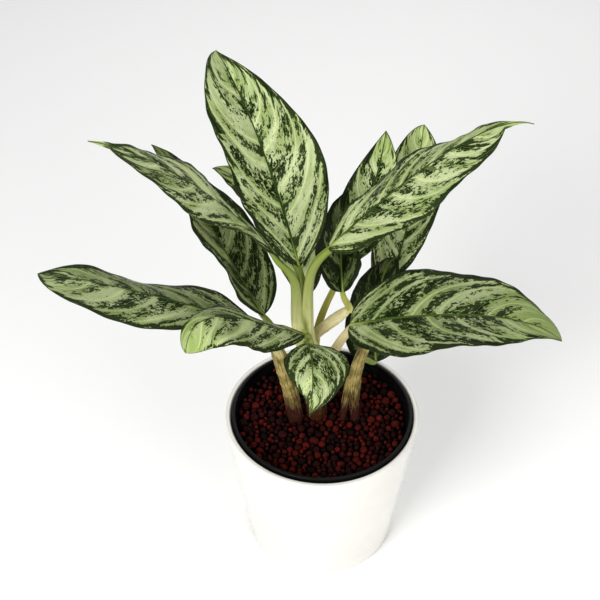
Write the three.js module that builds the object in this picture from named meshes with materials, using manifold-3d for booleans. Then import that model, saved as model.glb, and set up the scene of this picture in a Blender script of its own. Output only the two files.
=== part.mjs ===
// A potted Chinese evergreen (Aglaonema) in millimetres, +Z up.
//
// The origin is the middle of the planter's underside, and +Y points away from the viewer.
// From the ground up: a white planter, a black grow pot inside it, a bed of clay pebbles
// with a plain hole for each cane, four canes, and thirteen leaves. A leaf is one solid:
// a stalk that ends on its cane, a midrib, and a thin blade with a waved edge.

import * as THREE from 'three';
import { mergeVertices } from 'three/addons/utils/BufferGeometryUtils.js';
import Module from 'manifold-3d';

const wasm = await Module();
wasm.setup();

// ---------------------------------------------------------------- driving dimensions

const GAP = 0.3;              // air between pieces that rest against each other
const TURN_STEPS = 40;        // sides of a turned pot

const PLANTER = {
  height: 163,
  rimRadius: 97,              // outside, at the rim
  footRadius: 76,             // outside, at the foot
  wall: 5,
  floor: 6,
  edge: 2,                    // rounding of the rim and the foot
};

const GROW_POT = {
  height: 165,                // top of its rim above the ground
  rimRadius: 90,
  lipWidth: 3.4,              // how far the rolled lip stands out from the wall
  lipHeight: 7,
  footRadius: 66,
  wall: 2,
};

const BED = {
  top: 150,                   // level of the packed pebbles
  seed: 7,
  pebbles: 112,
  pebbleRadius: [4.6, 6.4],
  rise: [-1.2, 1.6],          // how high a pebble's middle lies above the bed's level
  edgeGap: 1,                 // pebbles keep this far from the grow pot's wall
};

const LEAF = {
  thickness: 0.9,
  ribDepth: 2.4,              // midrib below the blade, at the stalk
  ribDepthTip: 0.3,
  columns: 6,                 // strips across the blade
  stepLength: 13,             // length of one strip along the blade
  stalkSides: 8,
  stalkSteps: 7,
  overlap: 0.12,              // share of the blade that the stalk runs on below it
  baseHalf: 1.6,              // least half width, at the stalk and at the tip
  tipHalf: 0.5,
  tailHalf: 2.6,              // half width where a drawn-out tip begins
};

const CANE = { sides: 12, step: 14 };

const COLOURS = {
  planter: 0xf4f3ef,
  growPot: 0x17181a,
  pebbles: 0x4a1c16,
  cane: 0xb39b62,
  sheath: 0xc3cf86,
  leaf: 0x7f9a5a,
};

// Canes: each is one or more limbs fused into one solid. A limb is a Bezier curve of
// four points and its radii from the bottom up.
const CANES = {
  main_stem: {
    colour: COLOURS.sheath,
    limbs: [{ path: [[-3, 14, 98], [-3, 12, 165], [-15, 4, 245], [-20, 2, 306]],
      radii: [10.5, 10.6, 10.8, 10.8, 10.4, 9] }],
  },
  left_cane: {
    colour: COLOURS.cane,
    limbs: [{ path: [[-23, 10, 104], [-25, 7, 165], [-37, -2, 230], [-49, 0, 266]],
      radii: [7.6, 7.8, 8, 7.8, 7.2, 6.2] }],
  },
  second_stem: {
    colour: COLOURS.cane,
    limbs: [
      { path: [[37, 4, 104], [36, 5, 160], [22, 5, 200], [43, 9, 250]],
        radii: [3.2, 3.4, 5, 6.6, 6, 5] },
      { path: [[19, 4, 108], [21, 5, 145], [22, 5, 175], [29, 5, 208]],
        radii: [2.8, 3, 3.8, 5] },
    ],
  },
  side_branch: {
    colour: COLOURS.cane,
    growsFrom: 'main_stem',
    limbs: [{ path: [[-14, 7, 250], [-4, 12, 264], [8, 18, 268], [25, 22, 282]],
      radii: [4, 4.6, 5.2, 5, 4] }],
  },
};

// One half of a blade: its greatest width, the powers that narrow it towards the stalk
// and the tip, how many degrees it rises from the level at the stalk and at the tip,
// and the height and the phase in degrees of its waved edge.
function half(width, base, tip, riseBase, riseTip, wave = 3, phase = 0) {
  return { width, base, tip, riseBase, riseTip, wave, phase };
}

// Leaves: where the stalk starts inside its cane and which way it leaves, the midrib as
// a Bezier curve from the stalk to the tip, and the halves left and right of the midrib
// as seen from above, looking from the stalk to the tip. A stalk runs smoothly into its
// midrib, unless arrive gives another way for it to reach the blade. The blade's outline
// ends before a tail, a share of the midrib that goes on as a thin drawn-out tip.
const LEAVES = {
  leaf_crown: {
    root: [-20, 4, 292], leave: [0, 0, 1], stalk: [4.4, 3.2],
    midrib: [[-23, 4, 348], [-38, 25, 406], [-65, 64, 481], [-95, 95, 516]],
    left: half(49, 0.8, 0.52, 15, 20, 3, 0), right: half(50, 0.75, 1.12, 12, 20, 3, 90),
    waves: 2.2,
  },
  leaf_upper_left: {
    root: [-25, 1, 284], leave: [-0.05, 0, 1], stalk: [5.4, 3.2],
    midrib: [[-36, -15, 367], [-76, -30, 440], [-131, -40, 500], [-187, -48, 517]],
    left: half(40, 1.7, 1.05, 4, -10, 3, 150), right: half(37, 1.2, 1.1, -10, -6, 3, 0),
    waves: 2.4, tail: 0.07, clearOf: 'leaf_crown',
  },
  leaf_upper_right: {
    root: [-15, 2, 282], leave: [0, 0, 1], stalk: [5.8, 3.4],
    midrib: [[3, -6, 378], [46, -10, 432], [127, 0, 517], [168, -5, 505]],
    left: half(37, 0.55, 0.75, 6, -24, 3, 0), right: half(43, 0.6, 0.65, -4, -26, 3, 200),
    waves: 2.6, tail: 0.11, clearOf: 'leaf_crown',
  },
  leaf_hanging_left: {
    root: [-44, 2, 252], leave: [-0.1, 0.3, 1], stalk: [4.2, 2.6],
    midrib: [[-56, 12, 282], [-80, 30, 310], [-111, 70, 368], [-158, 90, 422]],
    left: half(40, 0.6, 0.9, 42, 35, 4, 200), right: half(40, 0.5, 0.9, 14, -5, 3, 60),
    waves: 2.2,
  },
  leaf_far_left: {
    root: [-42, -3, 246], leave: [-0.3, -0.3, 1], stalk: [4.4, 2.8],
    midrib: [[-66, -12, 295], [-121, -18, 321], [-197, -28, 361], [-249, -35, 372]],
    left: half(42, 0.9, 0.62, 2, -8, 3, 0), right: half(38, 0.45, 0.75, -12, -19, 6, 13),
    waves: 1.43,
  },
  leaf_lower_left: {
    root: [-22, -4, 262], leave: [-0.2, -0.8, 0.8], stalk: [4.2, 2.6],
    midrib: [[-17, -24, 291], [-52, -42, 314], [-114, -66, 385], [-121, -80, 320]],
    left: half(36, 0.8, 0.6, -16, -10, 3, 0), right: half(31, 0.6, 0.65, -20, -22, 3, 90),
    waves: 2,
  },
  leaf_front: {
    root: [-11, -3, 252], leave: [0.1, -0.9, 0.5], stalk: [4, 2.4],
    midrib: [[-16, -38, 293], [-11, -66, 310], [-8, -93, 297], [-14, -94, 256]],
    left: half(35, 1.1, 1.6, -14, -10, 2, 0), right: half(25, 0.8, 1.5, -6, -6, 2, 180),
    waves: 1.5,
  },
  leaf_back_left: {
    root: [-18, 8, 262], leave: [0, 0.8, 0.9], stalk: [4, 2.4],
    midrib: [[-22, 22, 295], [-20, 52, 316], [-58, 107, 374], [-107, 130, 368]],
    left: half(22, 0.8, 0.9, 5, 5, 2, 0), right: half(30, 0.5, 0.85, 10, 10, 3, 90),
    waves: 2,
  },
  leaf_dark_centre: {
    root: [25, 22, 278], leave: [0, 0, 1], stalk: [3.6, 2.4],
    midrib: [[18, 20, 304], [16, 38, 326], [15, 64, 349], [24, 76, 381]],
    left: half(27, 0.45, 0.85, 30, 35, 3, 0), right: half(24, 0.5, 0.85, 50, 45, 3, 90),
    waves: 2,
  },
  leaf_back_centre: {
    root: [-7, 12, 234], leave: [0, 0.6, 1], stalk: [3.8, 2.4],
    midrib: [[21, 50, 313], [35, 72, 340], [54, 102, 376], [59, 125, 414]],
    left: half(27, 0.6, 0.95, 15, 15, 2, 0), right: half(29, 0.6, 0.85, 15, 15, 2, 90),
    waves: 2,
  },
  leaf_back_right: {
    root: [29, 6, 192], leave: [0.2, 1, -0.25], arrive: [0.15, 0.25, 1], stalk: [4, 2.6],
    midrib: [[57, 82, 243], [88, 108, 284], [93, 142, 346], [99, 162, 397]],
    left: half(34, 0.6, 0.6, 10, 10, 3, 0), right: half(29, 1.3, 0.8, 8, 8, 3, 90),
    waves: 2,
  },
  leaf_behind_right: {
    root: [34, 9, 224], leave: [0.7, 0.7, 0], arrive: [0.6, 0.7, -0.4], stalk: [3.4, 2.4],
    midrib: [[54, 30, 203], [49, 45, 246], [57, 80, 304], [76, 94, 284]],
    left: half(31, 0.4, 0.85, -10, -10, 3, 0), right: half(31, 0.4, 0.85, -10, -10, 3, 90),
    waves: 2,
  },
  leaf_right: {
    root: [-8, 2, 214], leave: [0.5, -0.3, 1], arrive: [0.3, -0.3, 1], stalk: [5.4, 4],
    midrib: [[23, -26, 304], [82, -52, 343], [171, -60, 357], [206, -68, 323]],
    left: half(48, 0.4, 0.62, 30, 0, 3, 200), right: half(48, 0.55, 0.9, -8, 8, 3, 0),
    waves: 2.4,
  },
};

// ---------------------------------------------------------------- solids and helpers

const rad = THREE.MathUtils.degToRad;
const mix = THREE.MathUtils.lerp;
const point = (p) => new THREE.Vector3(...p);

// A closed geometry as a solid that can be joined and cut.
function solidOf(geometry) {
  const bare = geometry.clone();
  bare.deleteAttribute('normal');
  bare.deleteAttribute('uv');
  const merged = mergeVertices(bare, 1e-4);
  return new wasm.Manifold(new wasm.Mesh({
    numProp: 3,
    vertProperties: new Float32Array(merged.attributes.position.array),
    triVerts: new Uint32Array(merged.index.array),
  }));
}

function geometryOf(solid) {
  const { vertProperties, triVerts } = solid.getMesh();
  const geometry = new THREE.BufferGeometry();
  geometry.setAttribute('position', new THREE.BufferAttribute(vertProperties, 3));
  geometry.setIndex(new THREE.BufferAttribute(triVerts, 1));
  geometry.computeVertexNormals();
  return geometry;
}

function join(solids) {
  return solids.reduce((whole, next) => whole.add(next));
}

// The largest of the bodies in a cut solid: the others are scraps left by the cut.
function largestBody(solid) {
  return solid.decompose().sort((a, b) => b.volume() - a.volume())[0];
}

// The same sequence of numbers between 0 and 1 each time.
function seededRandom(seed) {
  let state = seed;
  return () => {
    state = (state * 1664525 + 1013904223) % 4294967296;
    return state / 4294967296;
  };
}

function indexedGeometry(points, faces) {
  const geometry = new THREE.BufferGeometry();
  geometry.setAttribute('position',
    new THREE.Float32BufferAttribute(points.flatMap((p) => p.toArray()), 3));
  geometry.setIndex(faces.flat());
  return geometry;
}

// A value read off a list spread evenly from 0 to 1.
function along(values, t) {
  const place = t * (values.length - 1);
  const i = Math.min(Math.floor(place), values.length - 2);
  return mix(values[i], values[i + 1], place - i);
}

// The line of a limb, with both ends moved out by extra.
function lengthened(stations, extra) {
  const ends = [[0, 1], [stations.length - 1, stations.length - 2]];
  for (const [end, inner] of ends) {
    const outward = stations[end].clone().sub(stations[inner]).normalize();
    stations[end].addScaledVector(outward, extra);
  }
  return stations;
}

// A closed limb with round sections: a ring of corners at each station, and a point
// in the middle of each end.
function limb(stations, radii, sides) {
  const points = [];
  const faces = [];
  let side = null;
  stations.forEach((station, i) => {
    const ahead = stations[Math.min(i + 1, stations.length - 1)];
    const behind = stations[Math.max(i - 1, 0)];
    const direction = ahead.clone().sub(behind).normalize();
    side = side ?? new THREE.Vector3(0.3, 1, 0.1);
    side = side.clone().addScaledVector(direction, -side.dot(direction)).normalize();
    const up = new THREE.Vector3().crossVectors(direction, side);
    for (let k = 0; k < sides; k += 1) {
      const angle = 2 * Math.PI * k / sides;
      points.push(station.clone()
        .addScaledVector(side, radii[i] * Math.cos(angle))
        .addScaledVector(up, radii[i] * Math.sin(angle)));
      if (i > 0) {
        const here = i * sides + k;
        const next = i * sides + (k + 1) % sides;
        faces.push([here - sides, next - sides, next], [here - sides, next, here]);
      }
    }
  });
  const last = stations.length - 1;
  const foot = points.push(stations[0].clone()) - 1;
  const head = points.push(stations[last].clone()) - 1;
  for (let k = 0; k < sides; k += 1) {
    const next = (k + 1) % sides;
    faces.push([foot, next, k], [head, last * sides + k, last * sides + next]);
  }
  return indexedGeometry(points, faces);
}

// ---------------------------------------------------------------- pots and pebbles

// A pot turned from a profile that closes on itself: foot, outside, rim, inside, floor.
function turnedPot(profile) {
  const points = profile.map(([r, z]) => new THREE.Vector2(r, z));
  const geometry = new THREE.LatheGeometry(points, TURN_STEPS);
  geometry.rotateX(Math.PI / 2);
  return geometry;
}

function planter() {
  const { height, rimRadius, footRadius, wall, floor, edge } = PLANTER;
  return turnedPot([
    [0, 0],
    [footRadius - edge, 0],
    [footRadius, edge],
    [rimRadius, height - edge],
    [rimRadius - edge / 2, height],
    [rimRadius - wall + edge / 2, height],
    [rimRadius - wall, height - edge],
    [footRadius - wall, floor],
    [0, floor],
  ]);
}

function growPot() {
  const { height, rimRadius, lipWidth, lipHeight, footRadius, wall } = GROW_POT;
  const bottom = PLANTER.floor + GAP;
  const throat = rimRadius - lipWidth;
  return turnedPot([
    [0, bottom],
    [footRadius, bottom],
    [throat, height - lipHeight],
    [rimRadius, height - lipHeight],
    [rimRadius, height - 1],
    [rimRadius - 1, height],
    [throat - wall + 1, height],
    [throat - wall, height - 1],
    [footRadius - wall, bottom + wall],
    [0, bottom + wall],
  ]);
}

// Inner radius of the grow pot at a height.
function growPotBore(z) {
  const { height, rimRadius, lipWidth, footRadius, wall } = GROW_POT;
  const bottom = PLANTER.floor + GAP + wall;
  const share = (z - bottom) / (height - 1 - bottom);
  return mix(footRadius, rimRadius - lipWidth, share) - wall;
}

// The pebbles' places: a sunflower spiral covers the round bed evenly, and each pebble
// is moved, sized and turned a little by the seeded draw.
function pebbleSolids() {
  const random = seededRandom(BED.seed);
  const golden = Math.PI * (3 - Math.sqrt(5));
  const reach = growPotBore(BED.top) - GAP - BED.edgeGap;
  const solids = [];
  for (let i = 0; i < BED.pebbles; i += 1) {
    const radius = mix(...BED.pebbleRadius, random() ** 2);
    const spread = Math.sqrt((i + 0.5) / BED.pebbles) * (reach - radius);
    const angle = i * golden + 0.3 * random();
    const pebble = new THREE.IcosahedronGeometry(radius, 0);
    pebble.rotateX(Math.PI * random());
    pebble.rotateZ(Math.PI * random());
    pebble.scale(1, 1, 0.85);
    pebble.translate(spread * Math.cos(angle), spread * Math.sin(angle),
      BED.top + mix(...BED.rise, random()));
    solids.push(solidOf(pebble));
  }
  return solids;
}

function pebbleBed(holes) {
  const bottom = PLANTER.floor + GAP + GROW_POT.wall + GAP;
  const packed = turnedPot([
    [0, bottom],
    [growPotBore(bottom) - GAP, bottom],
    [growPotBore(BED.top) - GAP, BED.top],
    [0, BED.top],
  ]);
  return largestBody(join([solidOf(packed), ...pebbleSolids()]).subtract(holes));
}

// ---------------------------------------------------------------- canes and leaves

function bezier(path) {
  return new THREE.CubicBezierCurve3(...path.map(point));
}

function caneSolid({ limbs }, extra) {
  return join(limbs.map(({ path, radii }) => {
    const curve = bezier(path);
    const steps = Math.round(curve.getLength() / CANE.step);
    const widths = Array.from({ length: steps + 1 }, (_, i) => along(radii, i / steps) + extra);
    return solidOf(limb(lengthened(curve.getSpacedPoints(steps), extra), widths, CANE.sides));
  }));
}

// Where a blade lies at share s of its midrib: the middle, and which way is up and left.
function frameOn(rib, s) {
  const ahead = rib.getTangentAt(s);
  const up = new THREE.Vector3(0, 0, 1).addScaledVector(ahead, -ahead.z).normalize();
  const leftward = new THREE.Vector3().crossVectors(up, ahead);
  return { middle: rib.getPointAt(s), up, leftward };
}

function stalkSolid({ root, leave, arrive, stalk, midrib }, extra) {
  const rib = bezier(midrib);
  const start = point(root);
  const end = point(midrib[0]);
  const reach = start.distanceTo(end);
  const arriving = arrive ? point(arrive).normalize() : rib.getTangentAt(0);
  const path = new THREE.CubicBezierCurve3(
    start,
    start.clone().addScaledVector(point(leave).normalize(), 0.4 * reach),
    end.clone().addScaledVector(arriving, -0.35 * reach),
    end);
  const stations = path.getSpacedPoints(LEAF.stalkSteps);
  const radii = stations.map((_, i) => mix(...stalk, i / LEAF.stalkSteps) + extra);
  for (const share of [0.5, 1]) {
    const { middle, up } = frameOn(rib, share * LEAF.overlap);
    const radius = stalk[1] * (1 - 0.35 * share);
    stations.push(middle.addScaledVector(up, -share * radius));
    radii.push(radius + extra);
  }
  return solidOf(limb(lengthened(stations, extra), radii, LEAF.stalkSides));
}

// Half width of the blade at share s of its length: s^base (1 - s)^tip, scaled so that
// it is 1 at its greatest.
function outline({ base, tip }, s) {
  const widest = base / (base + tip);
  return (s / widest) ** base * ((1 - s) / (1 - widest)) ** tip;
}

function halfWidth(shape, s, tail) {
  const least = mix(LEAF.baseHalf, LEAF.tipHalf, s);
  const body = shape.width * outline(shape, Math.min(s / (1 - tail), 1));
  const drawnOut = tail > 0 ? LEAF.tailHalf * s * Math.min((1 - s) / tail, 1) : 0;
  return Math.max(body, drawnOut, least);
}

// The blade is a grid of points, doubled for its two faces. Row by row it follows the
// midrib, and column by column it runs from the right edge to the left edge.
function bladeSolid({ midrib, left, right, waves, tail = 0 }) {
  const rib = bezier(midrib);
  const rows = Math.round(rib.getLength() / LEAF.stepLength);
  const columns = LEAF.columns;
  const points = [];
  for (let row = 0; row <= rows; row += 1) {
    const s = row / rows;
    const { middle, up, leftward } = frameOn(rib, s);
    const fade = Math.min(1, 6 * s, 6 * (1 - s));
    for (let column = 0; column <= columns; column += 1) {
      const t = 2 * column / columns - 1;
      const side = t < 0 ? -1 : 1;
      const shape = t < 0 ? right : left;
      const width = halfWidth(shape, s, tail);
      const rise = rad(mix(shape.riseBase, shape.riseTip, s));
      const lift = fade * shape.wave * t * t
        * Math.sin(2 * Math.PI * waves * s + rad(shape.phase));
      const normal = up.clone().multiplyScalar(Math.cos(rise))
        .addScaledVector(leftward, -side * Math.sin(rise));
      const place = middle.clone()
        .addScaledVector(leftward, t * width * Math.cos(rise))
        .addScaledVector(up, Math.abs(t) * width * Math.sin(rise))
        .addScaledVector(normal, lift);
      const facing = t === 0 ? up : normal;
      const ridge = t === 0 ? mix(LEAF.ribDepth, LEAF.ribDepthTip, s) : 0;
      points.push(
        place.clone().addScaledVector(facing, LEAF.thickness / 2),
        place.clone().addScaledVector(facing, -LEAF.thickness / 2 - ridge));
    }
  }
  return solidOf(indexedGeometry(points, bladeFaces(rows, columns)));
}

// Both faces are split along the same diagonals, and the edge is closed all round.
function bladeFaces(rows, columns) {
  const at = (row, column, face) => 2 * (row * (columns + 1) + column) + face;
  const faces = [];
  const wall = (a, b) => {
    faces.push([a, b, b + 1], [a, b + 1, a + 1]);
  };
  for (let row = 0; row < rows; row += 1) {
    for (let column = 0; column < columns; column += 1) {
      const [a, b, c, d] = [at(row, column, 0), at(row + 1, column, 0),
        at(row + 1, column + 1, 0), at(row, column + 1, 0)];
      faces.push([a, b, c], [a, c, d], [a + 1, c + 1, b + 1], [a + 1, d + 1, c + 1]);
    }
    wall(at(row + 1, 0, 0), at(row, 0, 0));
    wall(at(row, columns, 0), at(row + 1, columns, 0));
  }
  for (let column = 0; column < columns; column += 1) {
    wall(at(0, column, 0), at(0, column + 1, 0));
    wall(at(rows, column + 1, 0), at(rows, column, 0));
  }
  return faces;
}

// ---------------------------------------------------------------- assembly

const plant = new THREE.Group();

function addPiece(name, geometry, colour, roughness) {
  const material = new THREE.MeshStandardMaterial({ color: colour, roughness, metalness: 0 });
  const mesh = new THREE.Mesh(geometry, material);
  mesh.name = name;
  plant.add(mesh);
}

const caneRoom = {};
for (const [name, cane] of Object.entries(CANES)) {
  caneRoom[name] = caneSolid(cane, GAP);
}

addPiece('planter', planter(), COLOURS.planter, 0.35);
addPiece('grow_pot', growPot(), COLOURS.growPot, 0.5);
addPiece('pebble_bed', geometryOf(pebbleBed(join(Object.values(caneRoom)))), COLOURS.pebbles, 0.9);

for (const [name, cane] of Object.entries(CANES)) {
  const whole = caneSolid(cane, 0);
  const solid = cane.growsFrom
    ? largestBody(whole.subtract(caneRoom[cane.growsFrom]))
    : whole;
  addPiece(name, geometryOf(solid), cane.colour, 0.7);
}

const allCaneRoom = join(Object.values(caneRoom));
for (const [name, leaf] of Object.entries(LEAVES)) {
  let solid = stalkSolid(leaf, 0).add(bladeSolid(leaf)).subtract(allCaneRoom);
  if (leaf.clearOf) {
    solid = solid.subtract(stalkSolid(LEAVES[leaf.clearOf], GAP));
  }
  addPiece(name, geometryOf(largestBody(solid)), COLOURS.leaf, 0.45);
}

export default plant;
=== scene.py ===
# %% [markdown]
# # A potted Chinese evergreen
#
# The plant stands in clay pebbles in a black nursery pot, and that in a white planter.
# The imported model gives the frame: where each cane stands and where each leaf grows.
# Everything below is worked out in millimetres, as the model is, and turned to metres when
# a mesh is made.

import bmesh
import bpy
import numpy as np
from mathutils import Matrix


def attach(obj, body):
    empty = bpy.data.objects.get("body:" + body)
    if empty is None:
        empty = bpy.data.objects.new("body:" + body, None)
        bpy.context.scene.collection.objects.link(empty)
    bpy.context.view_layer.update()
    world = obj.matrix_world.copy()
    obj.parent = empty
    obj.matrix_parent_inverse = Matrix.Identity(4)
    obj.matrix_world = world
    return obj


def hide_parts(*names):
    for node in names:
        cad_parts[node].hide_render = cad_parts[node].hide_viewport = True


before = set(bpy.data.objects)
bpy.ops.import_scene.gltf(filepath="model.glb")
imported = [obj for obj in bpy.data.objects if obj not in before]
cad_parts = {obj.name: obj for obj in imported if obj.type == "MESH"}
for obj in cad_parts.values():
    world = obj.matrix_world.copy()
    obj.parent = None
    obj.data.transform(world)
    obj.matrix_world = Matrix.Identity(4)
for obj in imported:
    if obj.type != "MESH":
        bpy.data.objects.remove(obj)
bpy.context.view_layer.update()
print("nodes in the frame:", len(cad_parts))

# %% [markdown]
# ## Helpers
#
# Colours are written as sRGB hex values, because that is how they are read off a screen,
# and Blender's shaders want linear light. One function turns one into the other.


# %% Colour
def linear(hex_colour):
    """sRGB hex to linear RGBA: c / 12.92 up to 0.04045, and ((c + 0.055) / 1.055) ^ 2.4 above."""
    c = np.array([int(hex_colour[i:i + 2], 16) for i in (1, 3, 5)]) / 255
    return (*np.where(c <= 0.04045, c / 12.92, ((c + 0.055) / 1.055) ** 2.4), 1.0)


print("linear #808080:", np.round(linear("#808080"), 3))


# %% [markdown]
# A material is a small graph. One function adds a node, sets what is given by name, and
# fills or links its inputs, so a whole pattern reads from top to bottom like a recipe.


# %% Material helpers
def new_material(name):
    """An empty node material: its tree, and its Principled shader already on the output."""
    material = bpy.data.materials.new(name)
    material.use_nodes = True
    return material, material.node_tree, material.node_tree.nodes["Principled BSDF"]


def fill_inputs(tree, node, inputs):
    """Gives each input its value, or a link from the output that feeds it."""
    for key, value in inputs.items():
        if isinstance(value, bpy.types.NodeSocket):
            tree.links.new(value, node.inputs[key])
        else:
            node.inputs[key].default_value = value


def add_node(tree, kind, inputs=None, **settings):
    """Adds a ShaderNode of that kind with its settings and inputs, and gives its outputs."""
    node = tree.nodes.new("ShaderNode" + kind)
    for name, value in settings.items():
        setattr(node, name, value)
    fill_inputs(tree, node, inputs or {})
    return node.outputs


print("materials that came with the frame:", len(bpy.data.materials))


# %% [markdown]
# A surface here is a grid of points: rows along the piece, and columns across it or around
# it. A shape is three things: points, faces, and marks, which are vectors that every point
# carries for the finish to read. These helpers number the faces of a grid, join shapes, and
# turn a shape into a mesh.


# %% Mesh helpers
def grid_faces(rows, columns, closed=False):
    """Quads of a grid numbered row by row: (r, c), (r, c+1), (r+1, c+1), (r+1, c), where the
    last column meets the first again if the grid is closed."""
    wide = columns if closed else columns - 1
    r, c = np.meshgrid(np.arange(rows - 1), np.arange(wide), indexing="ij")
    n = (c + 1) % columns
    quads = [r * columns + c, r * columns + n, (r + 1) * columns + n, (r + 1) * columns + c]
    return np.stack(quads, -1).reshape(-1, 4)


def capped_faces(rows, columns):
    """Faces of a closed grid, then a fan of triangles at each end round a point of its own:
    the two points that are numbered after the grid's."""
    here = np.arange(columns)
    after = (here + 1) % columns
    top = (rows - 1) * columns
    first = np.stack([after, here, np.full(columns, rows * columns)], -1)
    last = np.stack([top + here, top + after, np.full(columns, rows * columns + 1)], -1)
    return [*grid_faces(rows, columns, closed=True), *first, *last]


def joined(shapes):
    """One shape from several: the faces of each are numbered on from the points before it."""
    points, faces, marks = zip(*shapes)
    starts = np.cumsum([0] + [len(part) for part in points])
    all_faces = [face + start for part, start in zip(faces, starts) for face in part]
    all_marks = {key: np.concatenate([part[key] for part in marks]) for key in marks[0]}
    return np.concatenate(points), all_faces, all_marks


def new_object(name, data):
    """An object that holds this data, linked into the scene."""
    thing = bpy.data.objects.new(name, data)
    bpy.context.scene.collection.objects.link(thing)
    return thing


def make_piece(name, shape, materials, node, flat=None):
    """A mesh object at the origin from a shape in mm, which stands for the model's node. flat
    says which faces keep hard edges."""
    points, faces, marks = shape
    mesh = bpy.data.meshes.new(name)
    mesh.from_pydata((points / 1000).tolist(), [], [f.tolist() for f in faces])
    smooth = np.ones(len(faces), bool) if flat is None else ~flat
    mesh.polygons.foreach_set("use_smooth", smooth)
    for key, values in marks.items():
        layer = mesh.attributes.new(key, "FLOAT_VECTOR", "POINT")
        layer.data.foreach_set("vector", np.asarray(values, np.float32).ravel())
    for material in materials:
        mesh.materials.append(material)
    mesh.update()
    piece = new_object(name, mesh)
    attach(piece, "root")
    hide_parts(node)
    print(f"{name}: {len(points)} points, {len(faces)} faces")
    return piece


print("faces of a grid of 3 by 4 points:", len(grid_faces(3, 4)))

# %% [markdown]
# ## Camera
#
# The rim of the nursery pot is a level circle of 180 mm, and it shows as an ellipse. A 72 mm
# lens on a 36 mm sensor is assumed. With it, the ellipse's place, width and flattening say
# where the camera stood: about 1.2 m from the rim, looking 41 degrees down.

# %% Camera
LENS_MM = 72
SENSOR_MM = 36
LOOKING_DOWN = 41
CAMERA_PLACE = (-0.0220, -0.8332, 1.0357)
camera = new_object("camera", bpy.data.cameras.new("camera"))
camera.data.lens = LENS_MM
camera.data.sensor_width = SENSOR_MM
camera.location = CAMERA_PLACE
camera.rotation_euler = (np.radians(90 - LOOKING_DOWN), 0, 0)
bpy.context.scene.camera = camera
print("camera at", CAMERA_PLACE)

# %% [markdown]
# ## Light and floor
#
# The plant was lit evenly from all round, with a slightly stronger light from the upper
# left that leaves a soft sheen on the leaves. Large area lamps do that, and a pale world
# fills the shade. The plain transform shows a colour as it is mixed.

# %% Light and floor
bpy.context.scene.view_settings.view_transform = "Standard"
world = bpy.data.worlds.new("studio")
world.use_nodes = True
fill_inputs(world.node_tree, world.node_tree.nodes["Background"],
            {"Color": linear("#f7f8fa"), "Strength": 0.5})
bpy.context.scene.world = world

LAMPS = {  # where it stands, what it points at, its side in metres, its watts
    "key": ((-1.1, -1.5, 1.3), (0, 0, 0.35), 1.0, 38),
    "fill": ((1.2, -1.4, 0.9), (0, 0, 0.3), 1.2, 14),
    "back": ((0.3, 1.3, 1.6), (0, 0, 0.35), 1.2, 9),
}
for lamp_name, (place, target, size, watts) in LAMPS.items():
    lamp = new_object(lamp_name, bpy.data.lights.new(lamp_name, "AREA"))
    lamp.data.size = size
    lamp.data.energy = watts
    lamp.location = place
    x, y, z = np.array(target) - np.array(place)
    lamp.rotation_euler = (np.arctan2(np.hypot(x, y), -z), 0, np.arctan2(y, x) - np.pi / 2)
print("lamps:", ", ".join(LAMPS))

# %% Floor
FLOOR_SIDE = 8.0
floor_corners = np.array([(-1, -1, 0), (1, -1, 0), (1, 1, 0), (-1, 1, 0)]) * FLOOR_SIDE / 2
floor_mesh = bpy.data.meshes.new("floor")
floor_mesh.from_pydata(floor_corners.tolist(), [], [(0, 1, 2, 3)])
floor = new_object("floor", floor_mesh)
paper, tree, shader = new_material("matt_backdrop_paper")
fill_inputs(tree, shader, {"Base Color": linear("#fafaf8"), "Roughness": 0.9})
floor_mesh.materials.append(paper)
print("floor:", FLOOR_SIDE, "m wide")

# %% [markdown]
# ## The planter and the nursery pot
#
# Both are turned forms: one profile carried round the upright axis. The model gives them
# forty flat sides. Here the profiles get rounded corners and a fine turn, so their edges
# catch the light as a glazed rim and a moulded lip do. The lip and wall of the model's nursery
# pot are 5.4 mm wide together. The real rim shows as a thinner line, so here they are 3.2 mm.


# %% Turned forms
def rounded_profile(corners, radii, steps=6):
    """Corners (radius, height) joined by straight lines, each cut back by its own radius and
    bridged with the curve (1-u)^2 A + 2u(1-u) corner + u^2 B."""
    corners = np.array(corners, float)
    u = np.linspace(0, 1, steps)[:, None]
    line = [corners[:1]]
    for before, here, after, cut in zip(corners, corners[1:], corners[2:], radii):
        a = here + (before - here) / np.linalg.norm(before - here) * cut
        b = here + (after - here) / np.linalg.norm(after - here) * cut
        line.append((1 - u) ** 2 * a + 2 * u * (1 - u) * here + u ** 2 * b)
    line.append(corners[-1:])
    return np.concatenate(line)


def turned(profile, sides=160):
    """A profile that starts and ends on the axis, carried round it: x = r cos a, y = r sin a.
    The two ends are single points, and the grid between them is closed with triangles."""
    a = np.linspace(0, 2 * np.pi, sides, endpoint=False)
    ring, height = profile[1:-1, :1], profile[1:-1, 1:]
    grid = np.stack([ring * np.cos(a), ring * np.sin(a), height + 0 * a], -1)
    ends = [[0, 0, profile[0, 1]], [0, 0, profile[-1, 1]]]
    return np.concatenate([grid.reshape(-1, 3), ends]), capped_faces(len(ring), sides), {}


print("points of one rounded corner:",
      len(rounded_profile([(0, 0), (9, 0), (9, 9)], [1])) - 2)

# %% [markdown]
# The planter is white glazed stoneware: fired clay under a clear, slightly cream glaze. The
# glaze gives a smooth sheen over a body that is not quite even, with faint cloudy patches
# about 25 mm wide and a ripple too shallow to see except in its reflections.

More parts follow.
